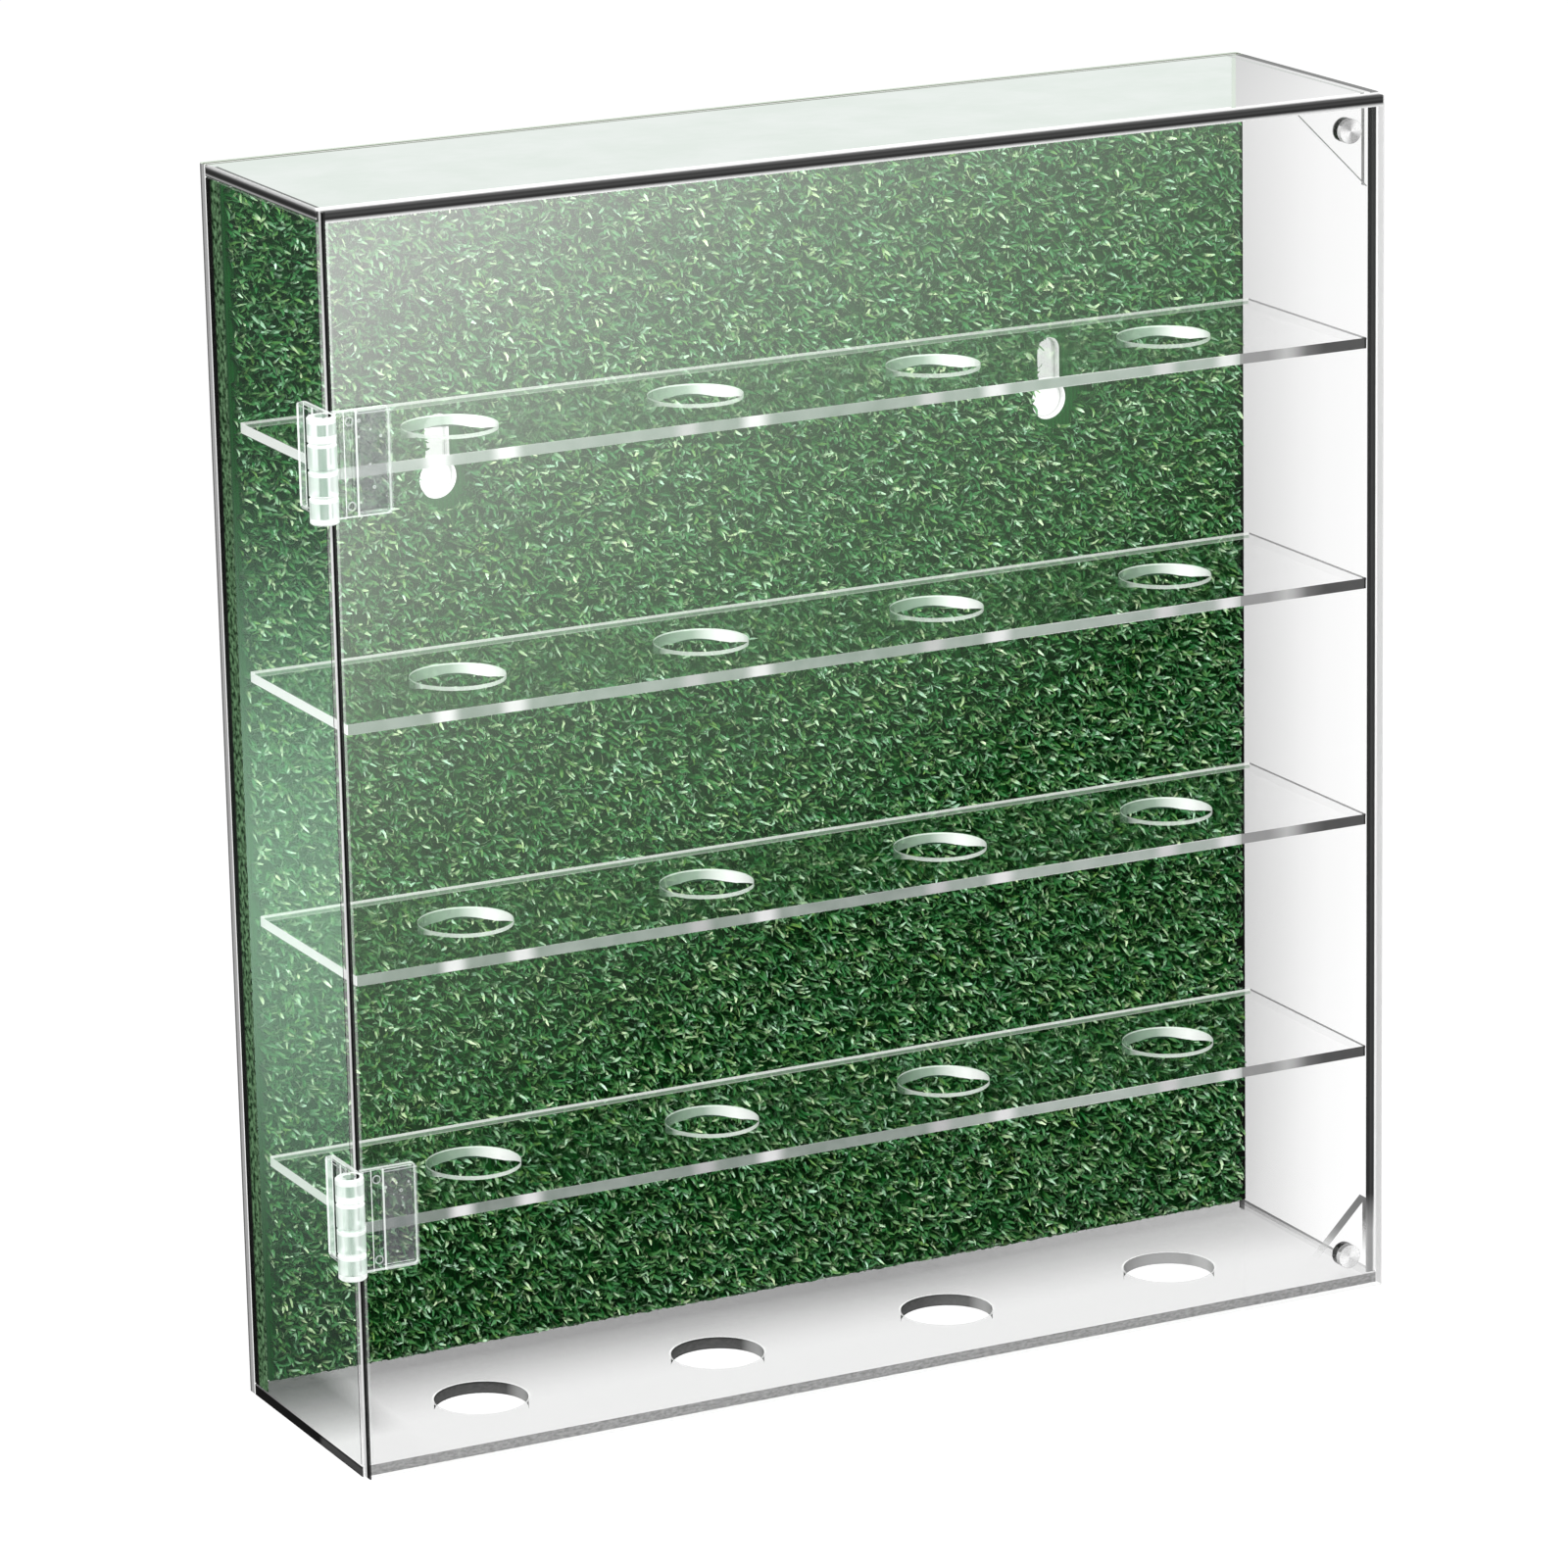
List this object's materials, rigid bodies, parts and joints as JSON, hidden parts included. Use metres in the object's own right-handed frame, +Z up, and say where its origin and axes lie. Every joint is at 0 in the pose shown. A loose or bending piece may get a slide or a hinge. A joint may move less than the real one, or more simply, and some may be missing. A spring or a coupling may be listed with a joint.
{
  "type": "golf ball display case",
  "caption": "Clear wall case with a hinged door, drilled shelves that seat golf balls, and an artificial turf back.",
  "frame": {"origin": "centre of the case's footprint, on the face that it stands on; the hinge barrels stand outside that footprint", "axes": "+X to the right along the front, the door faces -Y and the back panel +Y, +Z up"},
  "size_m": [0.2868, 0.0788, 0.305],
  "materials": {
    "clear_acrylic": "clear cast acrylic sheet with polished faces",
    "hinge_plastic": "clear moulded plastic, slightly milky",
    "adhesive": "clear double-sided adhesive with trapped air bubbles",
    "turf_pile": "short curled polyethylene turf blades",
    "turf_backing": "matt latex backing with a woven face",
    "plated_magnet": "nickel plated, turned face",
    "steel_pin": "drawn steel wire"
  },
  "bodies": {
    "case": {"back_panel": "clear_acrylic", "left_wall": "clear_acrylic", "right_wall": "clear_acrylic", "top_panel": "clear_acrylic", "bottom_panel": "clear_acrylic", "shelf_1": "clear_acrylic", "shelf_2": "clear_acrylic", "shelf_3": "clear_acrylic", "shelf_4": "clear_acrylic", "catch_upper_gusset": "clear_acrylic", "catch_lower_gusset": "clear_acrylic", "turf_backing": "turf_backing", "turf_pile": "turf_pile", "hinge_upper_case_leaf": "hinge_plastic", "hinge_upper_case_pad": "adhesive", "hinge_upper_pin": "steel_pin", "catch_upper_magnet": "plated_magnet", "hinge_lower_case_leaf": "hinge_plastic", "hinge_lower_case_pad": "adhesive", "hinge_lower_pin": "steel_pin", "catch_lower_magnet": "plated_magnet"},
    "door": {"door_panel": "clear_acrylic", "hinge_upper_door_leaf": "hinge_plastic", "hinge_upper_door_pad": "adhesive", "catch_upper_door_disc": "plated_magnet", "hinge_lower_door_leaf": "hinge_plastic", "hinge_lower_door_pad": "adhesive", "catch_lower_door_disc": "plated_magnet"}
  },
  "joints": [
    {"name": "door_hinge", "type": "hinge", "parent": "case", "child": "door", "pos_m": [-0.1434, -0.0394, 0.1525], "axis": [0, 0, -1], "range_deg": [0, 270]}
  ]
}
